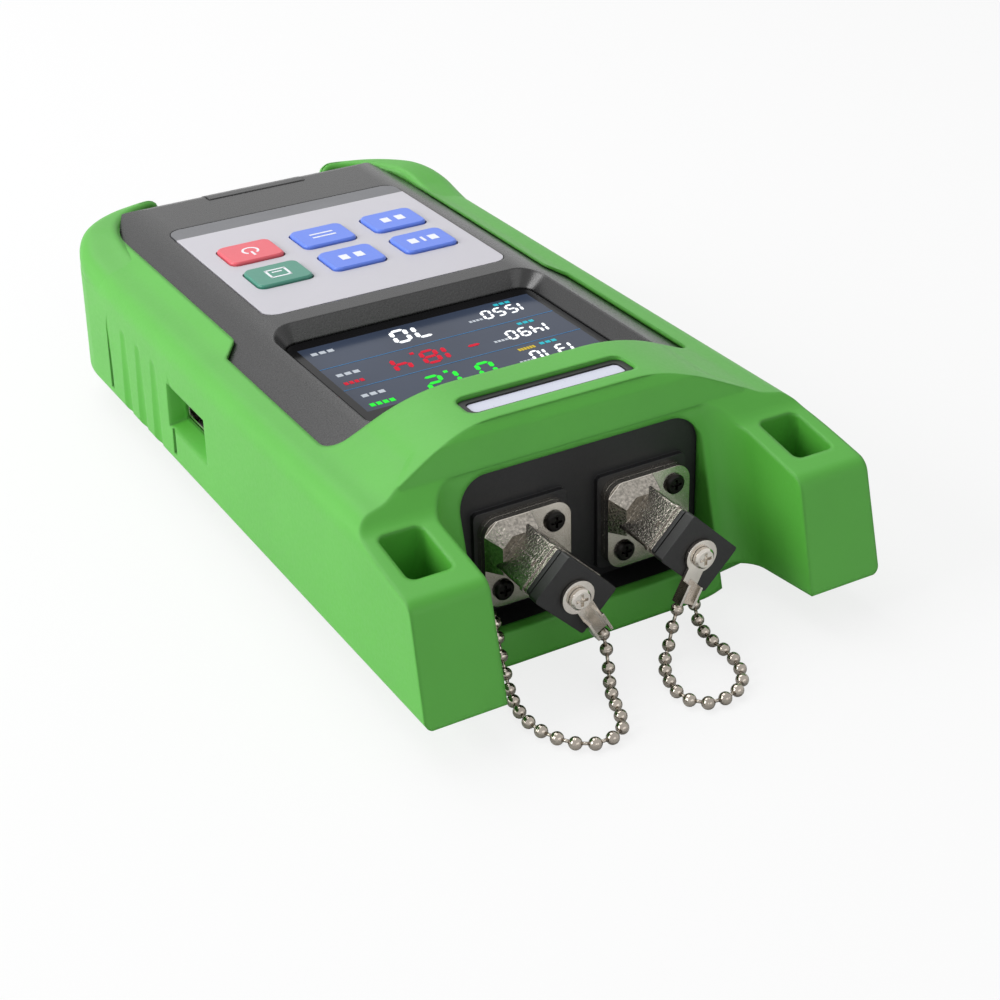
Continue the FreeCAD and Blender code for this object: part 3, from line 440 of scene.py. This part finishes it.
def figures(text, x, y, size):
    """Seven-segment figures, the first one centred on x, y.

    They are for someone who reads with the ports at the top: u runs to the reader's right,
    which is -X, and v runs up for the reader, which is -Y.
    """
    height, width, stroke = size
    half = stroke / 2
    gap = stroke * SEGMENT_GAP
    mid = height / 2
    start = 0.0
    out = []

    def place(points):
        return [(x + width / 2 - (start + u + v * SLANT), y + mid - v) for u, v in points]

    def level(v):
        left, right = half + gap, width - half - gap
        return place([(left, v), (left + half, v + half), (right - half, v + half), (right, v),
                      (right - half, v - half), (left + half, v - half)])

    def upright(u, low, high):
        low, high = low + gap, high - gap
        return place([(u, low), (u + half, low + half), (u + half, high - half), (u, high),
                      (u - half, high - half), (u - half, low + half)])

    for character in text:
        if character == ".":
            out.append(place([(-half * 0.6, -half), (half * 1.2, -half),
                              (half * 1.2, half), (-half * 0.6, half)]))
            start += stroke * 1.6
            continue
        shapes = {
            "a": level(height - half), "g": level(mid), "d": level(half),
            "b": upright(width - half, mid, height - half), "c": upright(width - half, half, mid),
            "f": upright(half, mid, height - half), "e": upright(half, half, mid),
        }
        out += [shapes[segment] for segment in SEGMENTS[character]]
        start += width + stroke * 0.9
    return out


def display_prints():
    """What the display shows, in three rows, with bars and blocks for its words."""
    def show(name, outlines, ink):
        prints(name, outlines, SCREEN_Z, ink)

    show("screen_lines", [bar(0, y, 2 * LIT_HALF, LINE_WIDE) for y in LINE_YS], line_ink)
    waves = []
    for value, x, y in (("1550", 22.6, 84.9), ("1490", 21.9, 73.8), ("1310", 21.2, 63.2)):
        waves += figures(value, x, y, SMALL)
    show("screen_wavelengths", waves, white_ink)
    show("screen_value_far", figures("70", -0.4, 85.2, BIG), white_ink)
    show("screen_value_mid", figures("-18.4", 4.9, 73.7, BIG), red_ink)
    show("screen_value_near", figures("01.2", 1.8, 63.1, BIG), green_ink)
    units = []
    for x, y in ((-21.9, 86.6), (-21.8, 75.5), (-21.6, 65.2)):
        units += word(x, y, 5.2, 1.2)
    for x, y in ((10.5, 83.6), (10.0, 72.6), (9.6, 61.9)):
        units += word(x, y, 3.2, 0.8, 4)
    show("screen_units", units, grey_ink)
    names = []
    for x, y in ((19.0, 88.2), (18.4, 77.6), (17.4, 67.3)):
        names += word(x, y, 4.0, 1.0)
    show("screen_names", names, cyan_ink)
    show("screen_tally", word(12.4, 66.9, 3.8, 1.1, 6), yellow_ink)
    show("screen_states", word(-21.8, 61.0, 5.4, 1.3, 4) + [bar(-17.2, 56.9, 3.2, 1.3)]
         + word(8.0, 57.2, 3.0, 0.9, 2) + word(13.2, 57.2, 3.4, 0.9), green_ink)
    show("screen_alarm", word(-22.4, 71.6, 4.4, 1.2, 4), red_ink)
    show("screen_clock", figures("10", -9.6, 57.2, TINY) + figures("25", -12.4, 57.2, TINY),
         white_ink)


def key_prints():
    """Plain marks: a power ring, a box, and bars and blocks on the blue keys."""
    def mark(key, outlines):
        prints(key + "_print", outlines, KEY_Z, key_ink, key)

    line = 0.5
    mark("power_key", [arc_band(-KEY_COLUMN, KEY_FAR, 1.9, line, -55, 235),
                       bar(-KEY_COLUMN, KEY_FAR - 1.7, line, 2.2)])
    mark("save_key", [bar(-KEY_COLUMN, KEY_NEAR - 1.9, 4.6, line),
                      bar(-KEY_COLUMN, KEY_NEAR + 1.9, 4.6, line),
                      bar(-KEY_COLUMN - 2.1, KEY_NEAR, line, 3.8),
                      bar(-KEY_COLUMN + 2.1, KEY_NEAR, line, 3.8),
                      bar(-KEY_COLUMN, KEY_NEAR + 0.6, 2.2, line)])
    mark("menu_key", [bar(0.0, KEY_FAR - 0.9, 5.4, 0.6), bar(0.0, KEY_FAR + 0.9, 5.4, 0.6)])
    for key, x, y in (("enter_key", KEY_COLUMN, KEY_FAR), ("wavelength_key", 0.0, KEY_NEAR)):
        mark(key, [bar(x - 1.7, y, 1.9, 2.6), bar(x + 1.7, y, 1.9, 2.6)])
    mark("reference_key", [bar(KEY_COLUMN - 2.4, KEY_NEAR, 1.9, 2.6),
                           bar(KEY_COLUMN, KEY_NEAR, 0.6, 2.6),
                           bar(KEY_COLUMN + 2.4, KEY_NEAR, 1.9, 2.6)])


# ------------------------------------------------------------------ raised rims at the far corners
def smooth_step(t):
    t = min(max(t, 0.0), 1.0)
    return t * t * (3 - 2 * t)


def wall_stations():
    """Points on one outer wall in plan, from the straight rim round the corner to the end gap.

    Each is (x, y, inward x, inward y, run) for the +X side. The length of the run comes with them.
    """
    corner_x = BOOT_HALF - FAR_RADIUS
    corner_y = FAR_END - FAR_RADIUS
    straight = corner_y - RIM_START
    bend = FAR_RADIUS * math.pi / 2
    total = straight + bend + corner_x - RIM_STOP
    out = []
    for i in range(RIM_STATIONS + 1):
        run = total * i / RIM_STATIONS
        if run < straight:
            out.append((BOOT_HALF, RIM_START + run, -1.0, 0.0, run))
        elif run < straight + bend:
            a = (run - straight) / FAR_RADIUS
            out.append((corner_x + FAR_RADIUS * math.cos(a), corner_y + FAR_RADIUS * math.sin(a),
                        -math.cos(a), -math.sin(a), run))
        else:
            out.append((corner_x - (run - straight - bend), FAR_END, 0.0, -1.0, run))
    return out, total


def rim_width(x, y, dx, dy):
    """How far the opening's edge lies inward from a point on the outer wall."""
    corner_x = OPENING_HALF - OPENING_RADIUS
    corner_y = OPENING_END - OPENING_RADIUS
    step, widest = 0.05, 14.0
    width = 0.0
    while width < widest:
        px, py = x + dx * width, y + dy * width
        if px > corner_x and py > corner_y:
            inside = math.hypot(px - corner_x, py - corner_y) < OPENING_RADIUS
        else:
            inside = px < OPENING_HALF and py < OPENING_END
        if inside:
            break
        width += step
    return width


def boot_rim_z(inset):
    """Height of the boot's own rim, this far in from its outer wall."""
    z = BOOT_RIM_Z
    for start, slope in RIM_SLOPES:
        z += slope * max(inset - start, 0.0)
    return z


def wall_lean(z):
    """How far in the rim's outer face stands at this height, just inside the boot's wall."""
    return RIM_INSET + WALL_DRAFT * (z - WALL_FOOT) / (WALL_TOP - WALL_FOOT)


def rim_section(width, rise, drop):
    """(inset from the wall, z) across a rim, from low on the outer wall to the opening's edge.

    rise goes from 0, just under the boot's own surface, to 1, the full height.
    """
    def top(inset):
        return boot_rim_z(inset) * (1 - rise) + RIM_HIGH * rise - RIM_SUNK * (1 - rise) - drop

    r = min(RIM_ROUND + RIM_SOFTER * (1 - rise), width * 0.55)
    foot = top(r) - r
    out = [(wall_lean(RIM_LOW), RIM_LOW), (wall_lean(foot), foot)]
    for k in range(1, 9):
        a = math.pi / 2 * k / 8
        out.append((wall_lean(foot) + r * (1 - math.cos(a)), foot + r * math.sin(a)))
    crown = out[-1][0]
    inner = width - RIM_BACK
    inner_r = min(RIM_INNER_ROUND, width * 0.25)
    for k in range(1, 4):
        inset = crown + (inner - inner_r - crown) * k / 4
        out.append((inset, top(inset)))
    for k in range(7):
        a = math.pi / 2 * k / 6
        out.append((inner - inner_r + inner_r * math.sin(a),
                    top(inner - inner_r) - inner_r + inner_r * math.cos(a)))
    out.append((inner, RIM_INNER_LOW))
    return out


def far_rim(side):
    stations, total = wall_stations()
    bm = bmesh.new()
    rows = []
    for x, y, dx, dy, run in stations:
        into_end = max(0.0, RIM_END_ROUND - (total - run))
        drop = RIM_END_ROUND - math.sqrt(max(0.0, RIM_END_ROUND ** 2 - into_end ** 2))
        section = rim_section(rim_width(x, y, dx, dy), smooth_step(run / RIM_RISE), drop)
        rows.append([bm.verts.new((side * (x + dx * w) * MM, (y + dy * w + FRONT) * MM, z * MM))
                     for w, z in section])
    for a, b in zip(rows, rows[1:]):
        for k in range(len(a) - 1):
            bm.faces.new((a[k], a[k + 1], b[k + 1], b[k])).smooth = True
    bm.faces.new(rows[-1])
    bm.faces.new(list(reversed(rows[0])))
    for a, b in zip(rows, rows[1:]):
        bm.faces.new((a[-1], a[0], b[0], b[-1]))
    bmesh.ops.recalc_face_normals(bm, faces=bm.faces)
    name = "far_rim_left" if side < 0 else "far_rim_right"
    new_object(name, mesh_from(bm, name), green)


# ------------------------------------------------------------------ ball chains
def smooth_line(points, samples=60):
    """Natural cubic curve through the points, as many close samples."""
    pts = np.array(points, float)
    t = np.concatenate([[0.0], np.cumsum(np.linalg.norm(np.diff(pts, axis=0), axis=1))])
    n = len(t)
    h = np.diff(t)
    a = np.zeros((n, n))
    rhs = np.zeros((n, 3))
    a[0, 0] = a[-1, -1] = 1.0
    for i in range(1, n - 1):
        a[i, i - 1], a[i, i], a[i, i + 1] = h[i - 1], 2 * (h[i - 1] + h[i]), h[i]
        rhs[i] = 6 * ((pts[i + 1] - pts[i]) / h[i] - (pts[i] - pts[i - 1]) / h[i - 1])
    m = np.linalg.solve(a, rhs)
    out = []
    for i in range(n - 1):
        for k in range(samples):
            u = h[i] * k / samples
            w = h[i] - u
            bend = (m[i] * w ** 3 + m[i + 1] * u ** 3) / (6 * h[i])
            before = (pts[i] / h[i] - m[i] * h[i] / 6) * w
            after = (pts[i + 1] / h[i] - m[i + 1] * h[i] / 6) * u
            out.append(bend + before + after)
    out.append(pts[-1])
    return np.array(out)


def ball_places(side):
    """The balls' middles, evenly spaced along the chain, in metres in the frame."""
    sign, degrees = LUG_TURN[side]
    turn = math.radians(degrees)
    end = (sign * PORT_HALF + LUG_END * math.sin(turn), LUG_Y, PORT_Z - LUG_END * math.cos(turn))
    line = smooth_line(ROUTES[side] + [end])
    run = np.concatenate([[0.0], np.cumsum(np.linalg.norm(np.diff(line, axis=0), axis=1))])
    count = int(round(run[-1] / BEAD_PITCH))
    stops = np.linspace(0.0, run[-1], count + 1)
    places = np.stack([np.interp(stops, run, line[:, k]) for k in range(3)], axis=1)
    places[:, 2] = np.maximum(places[:, 2], CHAIN_FLOOR)
    places[:, 1] += FRONT
    return places * MM


def lathe(bm, profile, start, direction, steps):
    """Add a turned piece to bm: profile is (radius, along) about the direction."""
    turn = Vector((0, 0, 1)).rotation_difference(Vector(direction)).to_matrix()
    rings = []
    for r, z in profile:
        ring = []
        for k in range(steps):
            a = 2 * math.pi * k / steps
            point = Vector((r * math.cos(a), r * math.sin(a), z))
            ring.append(bm.verts.new(Vector(start) + turn @ point * MM))
        rings.append(ring)
    for low, high in zip(rings, rings[1:]):
        for k in range(steps):
            n = (k + 1) % steps
            bm.faces.new((low[k], low[n], high[n], high[k])).smooth = True
    bm.faces.new(list(reversed(rings[0])))
    bm.faces.new(rings[-1])


def chain_mesh(name, places, first, last):
    """Balls first to last, each with the link that leads to it."""
    bm = bmesh.new()
    for i in range(first, last + 1):
        before = places[i - 1]
        after = places[min(i + 1, len(places) - 1)]
        lathe(bm, BALL, places[i], after - before, 18)
        gap = places[i] - before
        link_start = LINK_INSET if i > 1 else 0.0
        link_end = np.linalg.norm(gap) / MM - LINK_INSET
        lathe(bm, [(LINK_R, link_start), (LINK_R, link_end)], before, gap, 8)
    obj = bpy.data.objects.new(name, mesh_from(bm, name))
    scene.collection.objects.link(obj)
    obj.data.materials.append(shade_darkened_bead_metal.mat)
    return obj


def ball_chain(side):
    """One chain in two stretches, which meet at the loop's foremost ball."""
    places = ball_places(side)
    bottom = int(np.argmin(places[:, 1]))
    near = chain_mesh("chain_%s_near" % side, places, 1, bottom)
    far = chain_mesh("chain_%s_far" % side, places, bottom + 1, len(places) - 1)
    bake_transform(near)
    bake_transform(far)
    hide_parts("ball_chain_" + side)
    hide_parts("ball_chain_" + side)


# ------------------------------------------------------------------ room, light, camera
def floor_look():
    """Pale and plain: mostly bright white to the camera, and still darkened by shadows."""
    look = Shader("floor")
    look.tree.nodes.remove(look.bsdf)
    diffuse = look.add("ShaderNodeBsdfDiffuse")
    diffuse.inputs["Color"].default_value = (0.86, 0.86, 0.86, 1.0)
    glowing = look.add("ShaderNodeEmission")
    glowing.inputs["Color"].default_value = (1, 1, 1, 1)
    path = look.add("ShaderNodeLightPath")
    seen = look.add("ShaderNodeMath", operation="MULTIPLY")
    seen.inputs[1].default_value = 0.8
    look.link(path, "Is Camera Ray", seen, 0)
    mix = look.add("ShaderNodeMixShader")
    look.link(seen, 0, mix, "Fac")
    look.link(diffuse, 0, mix, 1)
    look.link(glowing, 0, mix, 2)
    look.link(mix, 0, look.out, "Surface")
    return look


def make_floor():
    mesh = bpy.data.meshes.new("floor")
    r = 3.0               # metres
    mesh.from_pydata([(-r, -r, 0), (r, -r, 0), (r, r, 0), (-r, r, 0)], [], [(0, 1, 2, 3)])
    obj = bpy.data.objects.new("floor", mesh)
    scene.collection.objects.link(obj)
    mesh.materials.append(floor_look().mat)
    obj.location.z = -0.02 * MM


def make_world():
    """Soft light all round, seen as plain white by the camera, reflections and glass."""
    world = bpy.data.worlds.new("studio")
    scene.world = world
    world.use_nodes = True
    tree = world.node_tree
    tree.nodes.clear()
    out = tree.nodes.new("ShaderNodeOutputWorld")
    light = tree.nodes.new("ShaderNodeBackground")
    light.inputs["Color"].default_value = (0.98, 0.99, 1.0, 1)
    light.inputs["Strength"].default_value = 0.38
    seen = tree.nodes.new("ShaderNodeBackground")
    seen.inputs["Color"].default_value = (1, 1, 1, 1)
    seen.inputs["Strength"].default_value = 1.0
    path = tree.nodes.new("ShaderNodeLightPath")
    mix = tree.nodes.new("ShaderNodeMixShader")
    rays = path.outputs["Is Camera Ray"]
    for kind in ("Is Glossy Ray", "Is Transmission Ray"):
        either = tree.nodes.new("ShaderNodeMath")
        either.operation = "MAXIMUM"
        tree.links.new(rays, either.inputs[0])
        tree.links.new(path.outputs[kind], either.inputs[1])
        rays = either.outputs[0]
    tree.links.new(rays, mix.inputs["Fac"])
    tree.links.new(light.outputs[0], mix.inputs[1])
    tree.links.new(seen.outputs[0], mix.inputs[2])
    tree.links.new(mix.outputs[0], out.inputs["Surface"])


def area_lamp(name, place, target, size, watts):
    """A rectangular lamp, placed in metres in the room."""
    data = bpy.data.lights.new(name, "AREA")
    data.shape = "RECTANGLE"
    data.size, data.size_y = size
    data.energy = watts
    lamp = bpy.data.objects.new(name, data)
    scene.collection.objects.link(lamp)
    lamp.location = place
    lamp.rotation_euler = (Vector(target) - Vector(place)).to_track_quat("-Z", "Y").to_euler()


def make_camera():
    data = bpy.data.cameras.new("camera")
    data.lens = 69.5
    data.sensor_width = 36.0
    data.clip_start = 0.01
    camera = bpy.data.objects.new("camera", data)
    scene.collection.objects.link(camera)
    right = Vector((0.8668, -0.4981, -0.0241))
    up = Vector((0.2622, 0.4141, 0.8717))
    ahead = Vector((0.4242, 0.7619, -0.4895))
    turn = Matrix((right, up, -ahead)).transposed().to_4x4()
    place = Vector((-158.12, -227.07 + FRONT, 191.46)) * MM
    camera.matrix_world = Matrix.Translation(place) @ turn
    scene.camera = camera


paint_solids()
display_prints()
for side in (-1, 1):
    far_rim(side)
for side in ("left", "right"):
    ball_chain(side)
key_prints()
make_floor()
make_world()
area_lamp("left_light", (-0.95, 0.25, 0.5), (0, 0, 0.02), (0.8, 0.6), 9.5)
area_lamp("top_light", (-0.1, 0.45, 0.85), (0, 0, 0.02), (0.7, 0.7), 4.2)
area_lamp("front_light", (0.1, -0.95, 0.4), (0, -0.05, 0.02), (0.8, 0.4), 1.0)
make_camera()
scene.view_settings.view_transform = "Standard"
